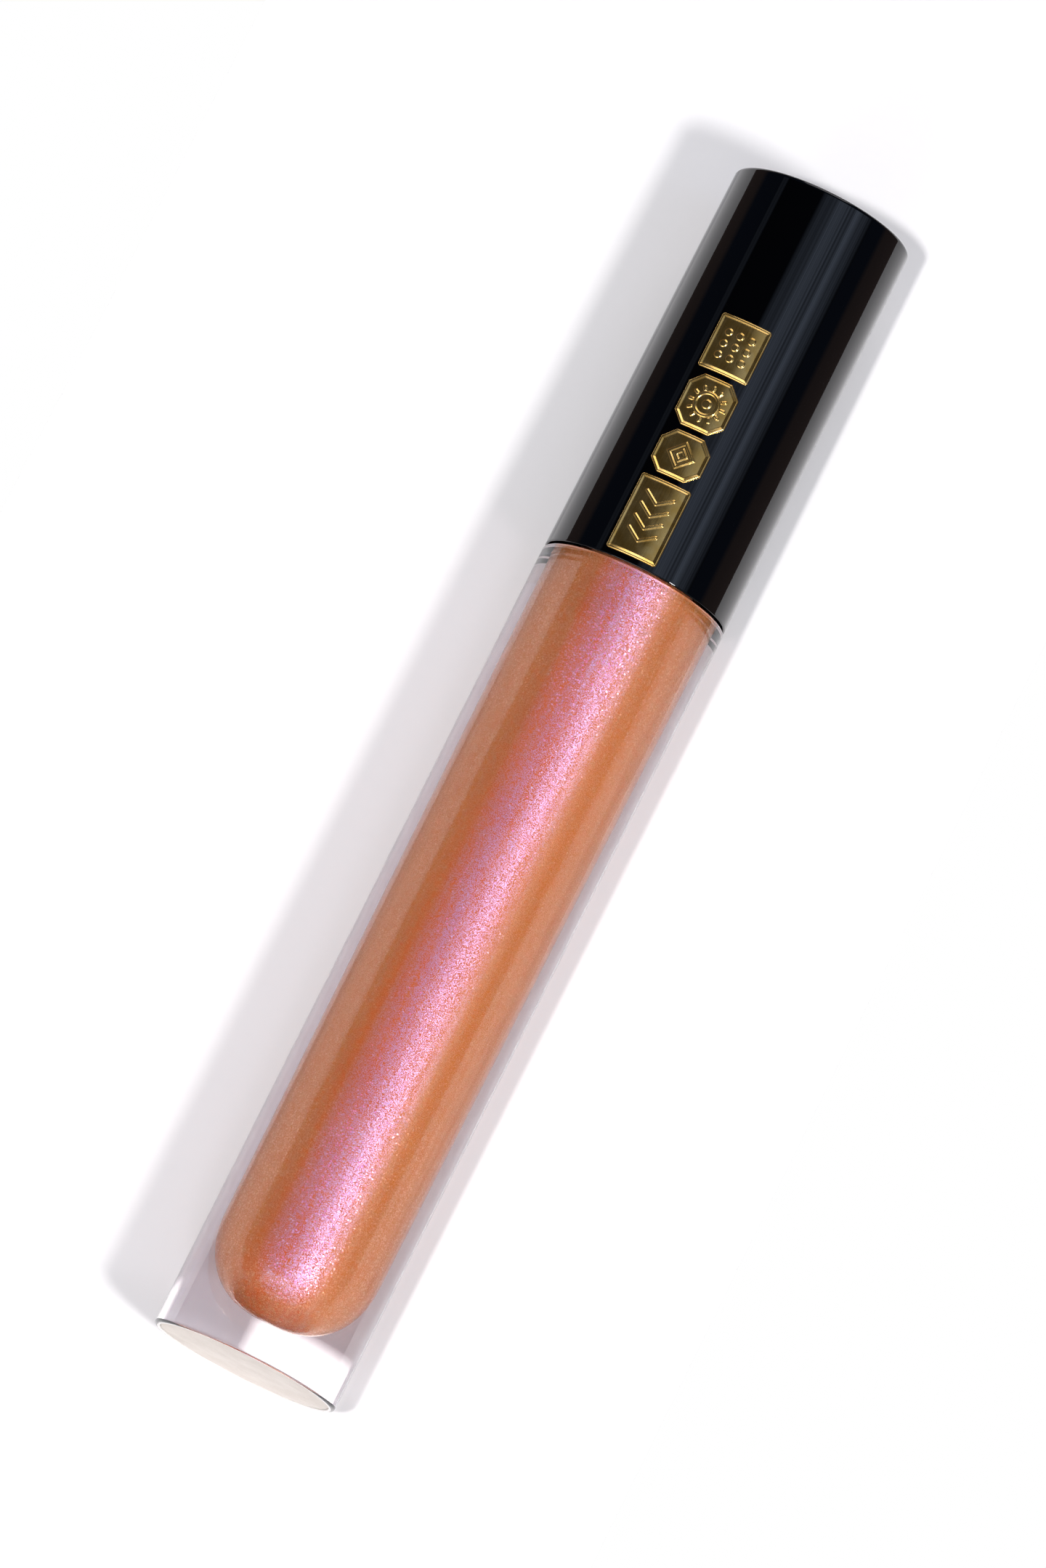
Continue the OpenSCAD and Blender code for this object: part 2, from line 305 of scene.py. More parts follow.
def frosted_plastic():
    """The bottle's plastic where its mould leaves it matt: the ring that it stands on."""
    made, tree = material("frosted_plastic")
    grain = noise(tree, local_coords(tree), 6000, 3.0)
    colour = blend_colour(tree, grain, rgb(0.74, 0.72, 0.70), rgb(0.82, 0.80, 0.78))
    shader = principled(
        tree, base_color=colour, roughness=spread(tree, grain, 0.3, 0.7, 0.25, 0.4), ior=1.57,
        normal=bump(tree, grain, 0.000005, 0.4),
    )
    finish_material(tree, shader)
    return made


def pearl_gloss():
    """Copper gel with painted sheen: it is painted lighter and more golden towards the tube's left and right
    sides than down the middle of its front and back. It is full of fine flakes that lie along the wall, each
    tilted a little, in faint streaks along the tube. Larger flakes gather near both ends. Flakes are pink
    face on and golden at a slant."""
    made, tree = material("pearl_gloss")
    coords = local_coords(tree)
    place = node(tree, "SeparateXYZ", {0: coords})
    streaks = noise(tree, local_coords(tree, (1, 1, 0.03)), 1300, 3.0)
    clouds = noise(tree, local_coords(tree, (1, 1, 0.5)), 200, 3.0)
    # Painted sheen: the gel is lighter and more golden away from the middle of the tube's front and back
    painted_side_sheen = spread(tree, math_node(tree, "ABSOLUTE", place.outputs[0]), 2.1 * MM, 3.1 * MM, 0, 1)
    gel = blend_colour(tree, painted_side_sheen, rgb(0.56, 0.120, 0.026), rgb(0.62, 0.185, 0.036))
    gel = blend_colour(tree, spread(tree, clouds, 0.4, 0.7, 0, 0.35), gel, rgb(0.66, 0.20, 0.05))

    # Fine flakes
    flake = node(tree, "TexVoronoi", {"Vector": coords, "Scale": 26000.0})
    parts = node(tree, "SeparateColor", {0: flake.outputs["Color"]})
    scarce = spread(tree, streaks, 0.3, 0.7, 0.80, 0.42)
    is_flake = math_node(tree, "GREATER_THAN", parts.outputs[0], scarce)
    pink = blend_colour(tree, parts.outputs[1], rgb(0.74, 0.38, 0.66), rgb(0.76, 0.54, 0.86))
    golden = blend_colour(tree, parts.outputs[1], rgb(0.80, 0.33, 0.15), rgb(0.84, 0.44, 0.26))
    oblique = spread(tree, node(tree, "LayerWeight", {"Blend": 0.5}).outputs["Facing"], 0.02, 0.12, 0, 1)
    colour = blend_colour(tree, is_flake, gel, blend_colour(tree, oblique, pink, golden))

    # Larger flakes
    middle = spread(tree, place.outputs[2], 18 * MM, 70 * MM, -1, 1)
    ends = math_node(tree, "POWER", math_node(tree, "ABSOLUTE", middle), 2.0)
    patchy = spread(tree, clouds, 0.4, 0.6, 0.6, 1.2)
    crowd = math_node(tree, "MULTIPLY", spread(tree, ends, 0.35, 0.9, 0.02, 0.34), patchy)
    big = node(tree, "TexVoronoi", {"Vector": coords, "Scale": 5600.0})
    big_parts = node(tree, "SeparateColor", {0: big.outputs["Color"]})
    chosen = math_node(tree, "LESS_THAN", big_parts.outputs[0], crowd)
    near = math_node(tree, "LESS_THAN", big.outputs["Distance"], 0.45)
    is_big = math_node(tree, "MULTIPLY", chosen, near)
    glint = blend_colour(tree, big_parts.outputs[1], rgb(1.0, 0.30, 0.66), rgb(0.95, 0.66, 1.0))
    glint = blend_colour(tree, oblique, glint, golden)
    colour = blend_colour(tree, is_big, colour, glint)

    # Each flake's own tilt
    shift = blend_colour(tree, is_big, flake.outputs["Color"], big.outputs["Color"])
    centred = node(tree, "VectorMath", {0: shift, 1: (0.5, 0.5, 0.5)}, operation="SUBTRACT").outputs[0]
    tilt = spread(tree, is_big, 0, 1, 0.28, 0.22)
    scaled = node(tree, "VectorMath", {0: centred, "Scale": tilt}, operation="SCALE").outputs[0]
    normal = node(tree, "NewGeometry").outputs["Normal"]
    tilted = node(tree, "VectorMath", {0: normal, 1: scaled}, operation="ADD").outputs[0]
    tilted = node(tree, "VectorMath", {0: tilted}, operation="NORMALIZE").outputs[0]

    metal = blend_number(tree, is_big, math_node(tree, "MULTIPLY", is_flake, 0.7), 0.5)
    rough = spread(tree, is_big, 0, 1, 0.42, 0.30)
    shader = principled(
        tree, base_color=colour, metallic=metal, roughness=rough, normal=tilted, specular_ior_level=0.2,
        subsurface_weight=1.0, subsurface_radius=(1.0, 0.5, 0.3), subsurface_scale=0.003,
        coat_weight=1.0, coat_roughness=0.03, coat_ior=1.5,
    )
    finish_material(tree, shader)
    return made


def black_lacquer():
    """High-gloss black, with a little haze, a few specks of dust and hairline rubs."""
    made, tree = material("black_lacquer")
    coords = local_coords(tree)
    haze = noise(tree, coords, 90, 4.0)
    rubs = noise(tree, local_coords(tree, (1, 1, 0.05)), 1800, 2.0)
    cloudy = spread(tree, haze, 0.3, 0.7, 0.02, 0.05)
    rough = math_node(tree, "ADD", cloudy, spread(tree, rubs, 0.6, 0.8, 0, 0.04))
    dust = node(tree, "TexVoronoi", {"Vector": coords, "Scale": 420.0})
    chance = node(tree, "SeparateColor", {0: dust.outputs["Color"]}).outputs[0]
    chosen = math_node(tree, "GREATER_THAN", chance, 0.93)
    speck = math_node(tree, "MULTIPLY", chosen, math_node(tree, "LESS_THAN", dust.outputs["Distance"], 0.035))
    colour = blend_colour(tree, speck, rgb(0.0007, 0.0008, 0.0012), rgb(0.25, 0.24, 0.22))
    rough = math_node(tree, "MAXIMUM", rough, math_node(tree, "MULTIPLY", speck, 0.8))
    shader = principled(
        tree, base_color=colour, roughness=rough, ior=1.5,
        normal=bump(tree, noise(tree, coords, 300, 1.0), 0.00001, 0.2),
    )
    finish_material(tree, shader)
    return made


def stamped_gold():
    """Gold-coloured metal with a fine brushed grain along the tube, and patches a little duller and paler."""
    made, tree = material("stamped_gold")
    coords = local_coords(tree)
    grain = noise(tree, local_coords(tree, (1, 1, 0.06)), 9000, 3.0)
    patches = noise(tree, coords, 900, 3.0)
    tarnish = spread(tree, patches, 0.35, 0.65, 0, 1)
    colour = blend_colour(tree, tarnish, rgb(0.84, 0.51, 0.13), rgb(0.94, 0.64, 0.23))
    brushed = spread(tree, grain, 0.3, 0.7, 0.17, 0.25)
    rough = math_node(tree, "ADD", brushed, spread(tree, patches, 0.4, 0.7, 0, 0.04))
    shader = principled(
        tree, base_color=colour, metallic=0.965, roughness=rough, normal=bump(tree, grain, 0.000003, 0.35),
    )
    finish_material(tree, shader)
    return made


def label_paper():
    """Cream paper with fine fibres, nothing printed on it."""
    made, tree = material("label_paper")
    coords = local_coords(tree)
    fibres = noise(tree, coords, 5000, 5.0)
    mottle = noise(tree, coords, 350, 2.0)
    colour = blend_colour(tree, fibres, rgb(0.57, 0.52, 0.47), rgb(0.72, 0.67, 0.615))
    colour = blend_colour(tree, spread(tree, mottle, 0.4, 0.7, 0, 0.6), colour, rgb(0.76, 0.715, 0.665))
    shader = principled(tree, base_color=colour, roughness=0.75, normal=bump(tree, fibres, 0.00002, 0.5))
    finish_material(tree, shader)
    return made


def soft_polymer():
    """Milky moulded polymer of the wiper, slightly translucent."""
    made, tree = material("soft_polymer")
    coords = local_coords(tree)
    cloud = noise(tree, coords, 700, 3.0)
    colour = blend_colour(tree, cloud, rgb(0.74, 0.72, 0.68), rgb(0.84, 0.82, 0.79))
    shader = principled(
        tree, base_color=colour, roughness=spread(tree, cloud, 0.3, 0.7, 0.3, 0.42),
        subsurface_weight=0.3, normal=bump(tree, noise(tree, coords, 4000, 2.0), 0.00001, 0.3),
    )
    finish_material(tree, shader)
    return made


def foam_liner():
    """Fine closed-cell foam."""
    made, tree = material("foam_liner")
    cells = node(tree, "TexVoronoi", {"Vector": local_coords(tree), "Scale": 6000.0}).outputs["Distance"]
    colour = blend_colour(tree, cells, rgb(0.70, 0.70, 0.68), rgb(0.82, 0.82, 0.80))
    shader = principled(tree, base_color=colour, roughness=0.8, normal=bump(tree, cells, 0.00004, 0.6))
    finish_material(tree, shader)
    return made


def satin_black(name, smear):
    """Satin black moulding. With smear, a film of gloss clings to it in long streaks, thicker low down."""
    made, tree = material(name)
    coords = local_coords(tree)
    orange_peel = noise(tree, coords, 3500, 2.0)
    rough = spread(tree, orange_peel, 0.3, 0.7, 0.28, 0.4)
    colour = blend_colour(tree, orange_peel, rgb(0.010, 0.010, 0.011), rgb(0.020, 0.020, 0.022))
    if smear:
        reach = 30
        streaks = noise(tree, local_coords(tree, (1, 1, 0.08)), 1500, 3.0)
        height = node(tree, "SeparateXYZ", {0: coords}).outputs[2]
        lower = spread(tree, height, ROD_LOW * MM, (ROD_LOW + reach) * MM, 0.14, 0.0)
        film = spread(tree, math_node(tree, "ADD", streaks, lower), 0.56, 0.7, 0.0, 0.8)
        colour = blend_colour(tree, film, colour, rgb(0.60, 0.16, 0.10))
        rough = math_node(tree, "SUBTRACT", rough, math_node(tree, "MULTIPLY", film, 0.2))
    normal = bump(tree, orange_peel, 0.00001, 0.4)
    shader = principled(tree, base_color=colour, roughness=rough, normal=normal)
    finish_material(tree, shader)
    return made


def wet_flock():
    """Pale fibres, stained by the gloss in clumps, more so towards the point."""
    made, tree = material("wet_flock")
    coords = local_coords(tree)
    clumps = noise(tree, coords, 2200, 4.0)
    height = node(tree, "SeparateXYZ", {0: coords}).outputs[2]
    lower = spread(tree, height, TIP_LOW * MM, TIP_TOP * MM, 0.35, -0.15)
    stain = spread(tree, math_node(tree, "ADD", clumps, lower), 0.3, 0.75, 0.15, 1.0)
    colour = blend_colour(tree, stain, rgb(0.82, 0.70, 0.64), rgb(0.66, 0.20, 0.12))
    shader = principled(
        tree, base_color=colour, roughness=spread(tree, stain, 0, 1, 0.85, 0.35), sheen_weight=0.4,
        normal=bump(tree, noise(tree, coords, 9000, 3.0), 0.00004, 0.5),
    )
    finish_material(tree, shader)
    return made


def tip_plastic():
    """Plain pale plastic of the applicator's core."""
    made, tree = material("tip_plastic")
    grain = noise(tree, local_coords(tree), 2500, 3.0)
    colour = blend_colour(tree, grain, rgb(0.72, 0.68, 0.64), rgb(0.80, 0.77, 0.73))
    shader = principled(tree, base_color=colour, roughness=spread(tree, grain, 0.3, 0.7, 0.35, 0.5))
    finish_material(tree, shader)
    return made


# ---------------------------------------------------------------- bottle and what it holds

def reservoir_bottom(extra=0.0):
    """The rounded bottom of the reservoir, from the axis outwards: a superellipse."""
    steps = 28
    points = []
    for i in range(steps + 1):
        f = math.sin(math.pi / 2 * i / steps)
        rise = 1 - math.sqrt(max(0.0, 1 - f ** RESERVOIR_POWER))
        height = FLOOR_OF_RESERVOIR - extra + (RESERVOIR_ROUND + extra) * rise
        points.append((f * (RESERVOIR_LOW_R + extra), height))
    return points


def neck_thread(r, z, angle):
    """Lifts the neck's wall into its thread."""
    outside = on_wall(r, z, NECK_R, SHOULDER, NECK_TOP, 1)
    return np.where(outside, NECK_R + (THREAD_R - NECK_R) * thread_height(z, angle, THREAD_START), r)


def fine_neck():
    """Closely spaced loops where the thread stands on the neck."""
    bottom, top, pitch = SHOULDER + 1.2, NECK_TOP - 1.4, 0.13
    count = round((top - bottom) / pitch)
    return [(NECK_R, bottom + (top - bottom) * i / count) for i in range(count + 1)]


def frost_foot(bottle, frosted):
    """Gives the flat ring that the bottle stands on the second material. Its rounded edge stays clear."""
    bottle.data.materials.append(frosted)
    for face in bottle.data.polygons:
        x, y, z = face.center / MM
        if z < BASE_EDGE and LABEL_R < math.hypot(x, y) < BASE_R - BASE_EDGE:
            face.material_index = 1


def build_bottle(clear, frosted):
    """The profile runs round the label's recess, the foot, the side, the neck and its rim, and then down the
    reservoir."""
    recess_r, recess_edge = LABEL_R + 0.05, 0.05
    root, rim_edge, mouth_edge = 0.3, 0.25, 0.15
    recess = arc(recess_r + recess_edge, recess_edge, recess_edge, 180, 270, 4)
    outside = supported([(0, LABEL_HIGH), (recess_r, LABEL_HIGH)])
    outside += supported(recess + [(BASE_R - BASE_EDGE, 0)])
    side = arc(BASE_R - BASE_EDGE, BASE_EDGE, BASE_EDGE, -90, 0, 14)
    side += arc(SHOULDER_R - SHOULDER_EDGE, SHOULDER - SHOULDER_EDGE, SHOULDER_EDGE, 0, 90, 8)
    side += arc(NECK_R + root, SHOULDER + root, root, 270, 180, 6)
    outside += supported(side)
    outside += fine_neck()
    rim = arc(NECK_R - rim_edge, NECK_TOP - rim_edge, rim_edge, 0, 90, 6)
    rim += arc(RESERVOIR_TOP_R + mouth_edge, NECK_TOP - mouth_edge, mouth_edge, 90, 180, 5)
    inside = [(RESERVOIR_TOP_R, SHOULDER)] + reservoir_bottom()[::-1]
    profile = outside + supported(rim) + supported(inside)
    bottle = turned("bottle_clear", profile, clear, reshape=neck_thread)
    frost_foot(bottle, frosted)
    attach(bottle, "bottle")
    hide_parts("bottle")


def build_gloss(pearl):
    """The gloss fills the reservoir, with a well where the wand stands. It reaches a hair into the wall, so
    that no film of air shows between them."""
    overlap, well_r, clearance = 0.02, 2.2, 0.4
    well_floor = TIP_LOW - clearance + well_r
    side = reservoir_bottom(overlap)
    side += [(RESERVOIR_TOP_R + overlap, SHOULDER), (RESERVOIR_TOP_R + overlap, FILL_TOP)]
    surface = [(RESERVOIR_TOP_R - 0.5, FILL_TOP - 0.25), (well_r + 0.5, FILL_TOP - 0.3)]
    surface += [(well_r, FILL_TOP - 0.1)]
    well = [(well_r, well_floor)] + arc(0, well_floor, well_r, 0, -90, 12)
    profile = supported(side) + supported(surface + well)[1:]
    profile[-1] = (0.0, well_floor - well_r)
    gloss = turned("gloss_liquid", profile, pearl)
    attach(gloss, "bottle")
    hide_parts("gloss_fill")


def build_label(paper):
    thick = LABEL_HIGH - LABEL_LOW
    edge = thick / 2
    profile = [(0, LABEL_LOW)] + arc(LABEL_R - edge, LABEL_LOW + edge, edge, -90, 90, 6) + [(0, LABEL_HIGH)]
    label = turned("base_label_paper", supported(profile), paper)
    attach(label, "bottle")
    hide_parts("base_label")


def build_wiper(polymer):
    """A sleeve in the neck that narrows to a soft lip, with a flange on the neck's rim."""
    outer, flange = RESERVOIR_TOP_R - 0.03, NECK_R - 0.25
    wall, lip_round, under_edge, top_edge, mouth_edge = 0.8, 0.3, 0.15, 0.2, 0.25
    bore, top, lip = outer - wall, NECK_TOP + 0.7, NECK_TOP - 8.2
    outer_cone = [(ORIFICE_R + 0.6, NECK_TOP - 8.4), (outer, NECK_TOP - 5)]
    inner_cone = [(bore, NECK_TOP - 4.6), (ORIFICE_R, NECK_TOP - 7.9)]
    profile = arc(ORIFICE_R + lip_round, lip, lip_round, 180, 360, 8)
    profile += outer_cone + [(outer, NECK_TOP), (flange - 0.1, NECK_TOP)]
    profile += arc(flange - under_edge, NECK_TOP + under_edge, under_edge, -90, 0, 4)
    profile += arc(flange - top_edge, top - top_edge, top_edge, 0, 90, 5)
    profile += arc(bore + mouth_edge, top - mouth_edge, mouth_edge, 90, 180, 5)
    profile += inner_cone + [(ORIFICE_R, lip)]
    wiper = turned("wiper_insert", supported(profile), polymer)
    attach(wiper, "bottle")
    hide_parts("wiper")


# ---------------------------------------------------------------- cap and what it holds

def build_seal(foam):
    hole, edge = ROD_R + 0.35, 0.15
    profile = arc(hole + edge, SEAL_LOW + edge, edge, 180, 270, 4)
    profile += arc(SEAL_R - edge, SEAL_LOW + edge, edge, -90, 0, 4)
    profile += arc(SEAL_R - edge, SEAL_HIGH - edge, edge, 0, 90, 4)
    profile += arc(hole + edge, SEAL_HIGH - edge, edge, 90, 180, 4)
    seal = turned("seal_washer", supported(profile), foam)
    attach(seal, "seal")
    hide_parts("cap_seal")


def build_outer_cap(lacquer):
    """The shell, stepped inside where the insert's boss begins."""
    inner_r, upper_r, end_wall = INSERT_R + 0.1, 7.05, 1.6
    inner_round, mouth_edge, rim_edge, top_edge = 0.4, 0.2, 0.14, 0.3
    step, roof = BOSS_LOW + 0.05, CAP_TOP - end_wall
    profile = [(0, roof)] + arc(upper_r - inner_round, roof - inner_round, inner_round, 90, 0, 5)
    profile += [(upper_r, step), (inner_r, step), (inner_r, CAP_RIM + 0.3)]
    profile += arc(inner_r + mouth_edge, CAP_RIM + mouth_edge, mouth_edge, 180, 270, 4)
    profile += arc(CAP_RIM_R - rim_edge, CAP_RIM + rim_edge, rim_edge, -90, 0, 5)
    profile += arc(CAP_TOP_R - top_edge, CAP_TOP - top_edge, top_edge, 0, 90, 8) + [(0, CAP_TOP)]
    cap = turned("cap_shell", supported(profile), lacquer, segments=256)
    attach(cap, "cap")
    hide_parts("outer_cap")


def insert_thread(r, z, angle):
    """Draws the insert's bore in to its thread, half a pitch from the neck's."""
    crest = 6.42
    inside = on_wall(r, z, INSERT_BORE_R, INSERT_LOW, INSERT_ROOF, 0.8)
    height = thread_height(z, angle, THREAD_START - THREAD_PITCH / 2)
    return np.where(inside, INSERT_BORE_R - (INSERT_BORE_R - crest) * height, r)


def build_inner_cap(satin):
    """The insert: a threaded bore below, and a boss above that holds the rod."""
    rod_hole, end_gap, steps = ROD_R + 0.02, 0.1, 80
    mouth_edge, foot_edge, top_edge, boss_root, boss_edge = 0.2, 0.15, 0.2, 0.3, 0.4
    top, bottom = INSERT_ROOF - 0.9, INSERT_LOW + 0.9
    hole = [(0, ROD_TOP + end_gap), (rod_hole, ROD_TOP + end_gap), (rod_hole, INSERT_ROOF)]
    bore = [(INSERT_BORE_R, top + (bottom - top) * i / steps) for i in range(steps + 1)]
    outside = arc(INSERT_BORE_R + mouth_edge, INSERT_LOW + mouth_edge, mouth_edge, 180, 270, 4)
    outside += arc(INSERT_R - foot_edge, INSERT_LOW + foot_edge, foot_edge, -90, 0, 4)
    outside += arc(INSERT_R - top_edge, BOSS_LOW - top_edge, top_edge, 0, 90, 4)
    outside += arc(BOSS_R + boss_root, BOSS_LOW + boss_root, boss_root, 270, 180, 5)
    outside += arc(BOSS_R - boss_edge, INSERT_TOP - boss_edge, boss_edge, 0, 90, 5)
    profile = supported(hole + [(INSERT_BORE_R, INSERT_ROOF)]) + bore
    profile += supported(outside + [(0, INSERT_TOP)])
    insert = turned("cap_insert", profile, satin, reshape=insert_thread)
    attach(insert, "cap")
    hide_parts("inner_cap")


def build_rod(satin):
    """The rod, hollow at its lower end for the tip's stem."""
    bore, depth, low_edge, top_edge = 1.02, 5.2, 0.25, 0.2
    profile = [(0, ROD_LOW + depth), (bore, ROD_LOW + depth), (bore, ROD_LOW)]
    profile += arc(ROD_R - low_edge, ROD_LOW + low_edge, low_edge, -90, 0, 6)
    profile += arc(ROD_R - top_edge, ROD_TOP - top_edge, top_edge, 0, 90, 4) + [(0, ROD_TOP)]
    rod = turned("wand_stem", supported(profile), satin, segments=96)
    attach(rod, "cap")
    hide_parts("wand_rod")


def doe_foot(z, angle):
    """Points of the applicator's surface, for heights z over its lowest point and angles round the axis: a
    finger with a round end and a slanted, slightly dished face on its +X side."""
    radius, face_top, dish, soft_edge = 1.92, 9.4, 0.12, 0.22
    narrowing, lift, slant = 0.12, 0.15, math.tan(math.radians(18))
    ball = np.clip(radius - z, 0, radius)
    r = np.sqrt(np.maximum(radius ** 2 - ball ** 2, 1e-6))
    taper = 1 - narrowing * smooth((z - 0.8 * TIP_LENGTH) / (0.2 * TIP_LENGTH))
    x, y = r * taper * np.cos(angle), r * taper * np.sin(angle)
    hollow = dish * np.sin(np.clip(z / face_top, 0, 1) * math.pi)
    limit = radius - (face_top - z) * slant - hollow
    gap = np.clip((x - limit) / soft_edge, -8, 8)
    x = np.where(z < face_top + 1, x - soft_edge * np.log1p(np.exp(gap)), x)
    return np.stack([x, y, TIP_LOW + lift + z], -1)


def build_flocking(flock):
    """The sleeve of flock on the applicator, slightly uneven."""
    rings, around, unevenness = 90, 96, 0.012
    z = TIP_LENGTH * 0.985 * (1 - np.cos(np.linspace(0.03, 1, rings) * math.pi / 2)) ** 0.9
    angle = np.linspace(0, 2 * math.pi, around, endpoint=False)
    grid_z, grid_a = np.meshgrid(z, angle, indexing="ij")
    points = doe_foot(grid_z, grid_a)
    rng = np.random.default_rng(7)
    points[..., :2] *= 1 + unevenness * rng.standard_normal(grid_z.shape)[..., None]
    verts = points.reshape(-1, 3).tolist() + [points[0].mean(0).tolist(), points[-1].mean(0).tolist()]
    faces = ring_faces(rings, around) + pole_faces(rings, around)
    body = mesh_object("applicator_flock", verts, faces, flock, sharp=180)
    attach(body, "cap")
    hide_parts("applicator_flocking")


def build_fibres(flock):
    """The flock's nap: short tapered fibres that stand out of it all over."""
    count, base_r, reach, sunk = 5200, 0.022, 0.16, 0.03
    step, clearance = 0.02, 0.06
    rng = np.random.default_rng(11)
    z = TIP_LENGTH * 0.96 * rng.random(count) + 0.02
    angle = 2 * math.pi * rng.random(count)
    root = doe_foot(z, angle)
    along = doe_foot(z + step, angle) - doe_foot(z - step, angle)
    round_it = doe_foot(z, angle + step) - doe_foot(z, angle - step)
    out = np.cross(round_it, along)
    out /= np.linalg.norm(out, axis=1, keepdims=True)
    lean = out + 0.5 * rng.standard_normal(out.shape)
    lean /= np.linalg.norm(lean, axis=1, keepdims=True)
    side = np.cross(out, [0, 0, 1.0])
    side /= np.maximum(np.linalg.norm(side, axis=1, keepdims=True), 1e-6)
    other = np.cross(out, side)
    tip = root + lean * reach * (0.6 + 0.4 * rng.random(count))[:, None]
    keep = np.minimum(1, (ORIFICE_R - clearance) / np.hypot(tip[:, 0], tip[:, 1]))
    tip[:, :2] *= keep[:, None]
    corners = []
    for turn in (0, 2 * math.pi / 3, 4 * math.pi / 3):
        corners.append(root - sunk * out + base_r * (math.cos(turn) * side + math.sin(turn) * other))
    verts = np.stack(corners + [tip], 1).reshape(-1, 3)
    faces = []
    for i in range(0, 4 * count, 4):
        faces += [(i, i + 2, i + 1), (i, i + 1, i + 3), (i + 1, i + 2, i + 3), (i + 2, i, i + 3)]
    nap = mesh_object("applicator_fibres", verts, faces, flock)
    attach(nap, "cap")


def finish_core(plastic):
    """The applicator's core keeps its CAD mesh, with a material of its own."""
    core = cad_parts["applicator_core"]
    core.data.materials.clear()
    core.data.materials.append(plastic)


# ---------------------------------------------------------------- gold plates

def round_corner_box(x, y, w, h, r):
    """Signed distance to a rectangle with round corners."""
    qx, qy = np.abs(x) - w / 2 + r, np.abs(y) - h / 2 + r
    return np.minimum(np.maximum(qx, qy), 0) + np.hypot(np.maximum(qx, 0), np.maximum(qy, 0)) - r


def cut_corner_box(x, y, w, h, c):
    """Signed distance to a rectangle with cut corners."""
    ax, ay = np.abs(x), np.abs(y)
    return np.maximum(np.maximum(ax - w / 2, ay - h / 2), (ax + ay - (w + h) / 2 + c) / math.sqrt(2))


def stroke(x, y, start, end):
    """Distance to a straight line from start to end."""
    dx, dy = end[0] - start[0], end[1] - start[1]
    t = np.clip(((x - start[0]) * dx + (y - start[1]) * dy) / (dx * dx + dy * dy), 0, 1)
    return np.hypot(x - start[0] - t * dx, y - start[1] - t * dy)


def chevrons(x, y):
    """Distance to four chevrons, one over the other."""
    half_width, rise, feet = 1.28, 0.9, (-2.2, -1.0, 0.2, 1.4)
    return np.minimum.reduce([stroke(np.abs(x), y, (0, foot), (half_width, foot + rise)) for foot in feet])


def nested_diamonds(x, y):
    """Distance to the outlines of two diamonds, one in the other."""
    reach = np.abs(x) + np.abs(y)
    return np.minimum(np.abs(reach - 1.15), np.abs(reach - 0.5)) / math.sqrt(2)


def rayed_ring(x, y):
    """Distance to a ring with twelve rays round it and a dot in its middle."""
    ring_r, dot_r, ray = 1.05, 0.28, (1.35, 1.62)
    radius, angle = np.hypot(x, y), np.arctan2(y, x)
    sector = math.pi / 6
    folded = np.abs((angle + sector / 2) % sector - sector / 2)
    rays = stroke(radius * np.cos(folded), radius * np.sin(folded), (ray[0], 0), (ray[1], 0))
    return np.minimum.reduce([np.abs(radius - ring_r), rays, np.maximum(radius - dot_r, 0)])


def studs(x, y):
    """Distance to nine round studs, three by three."""
    pitch, stud_r = 1.1, 0.2
    nearest_x, nearest_y = np.clip(np.round(x / pitch), -1, 1), np.clip(np.round(y / pitch), -1, 1)
    return np.maximum(np.hypot(x - pitch * nearest_x, y - pitch * nearest_y) - stud_r, 0)


PLATES = [
    ("plate_chevrons", round_corner_box, 0.3, chevrons),
    ("plate_diamond", cut_corner_box, 1.1, nested_diamonds),
    ("plate_ring", cut_corner_box, 1.1, rayed_ring),
    ("plate_studs", round_corner_box, 0.3, studs),
]


def plate_height(depth, mark):
    """Height over the cap at a depth inside the outline and a distance from the mark's lines."""
    panel, proud, edge_drop = 0.05, 0.17, 0.08
    edge, border, slope, field, fade = 0.1, 0.12, 0.3, 0.42, 0.15
    line_height, line_width = 0.09, 0.19
    rise = smooth(depth / edge)
    rim = (proud - panel) * (1 - smooth((depth - border) / slope))
    line = line_height * smooth(1.3 * (1 - mark / line_width)) * smooth((depth - field) / fade)
    return panel - edge_drop + edge_drop * rise + np.maximum(rim, line)


def plate_grid(outline, w, h, corner):
    """A fine grid of points over a plate, those outside its outline drawn in to it, and which they are."""
    pitch, nudge = 0.04, 1e-4
    nx, ny = round(w / pitch) + 1, round(h / pitch) + 1
    x, y = np.meshgrid(np.linspace(-w / 2, w / 2, nx), np.linspace(-h / 2, h / 2, ny), indexing="ij")
    outside = outline(x, y, w, h, corner) > 1e-9
    for _ in range(3):
        d = outline(x, y, w, h, corner)
        gx = (outline(x + nudge, y, w, h, corner) - d) / nudge
        gy = (outline(x, y + nudge, w, h, corner) - d) / nudge
        norm = np.maximum(np.hypot(gx, gy), 1e-6)
        x, y = x - np.where(outside, d * gx / norm, 0), y - np.where(outside, d * gy / norm, 0)
    return x, y, outside


def free_edges(quads):
    """The edges that only one quad has, each in that quad's direction."""
    edges = {}
    for quad in quads:
        for a, b in zip(quad, quad[1:] + quad[:1]):
            if (b, a) in edges:
                del edges[(b, a)]
            else:
                edges[(a, b)] = True
    return edges


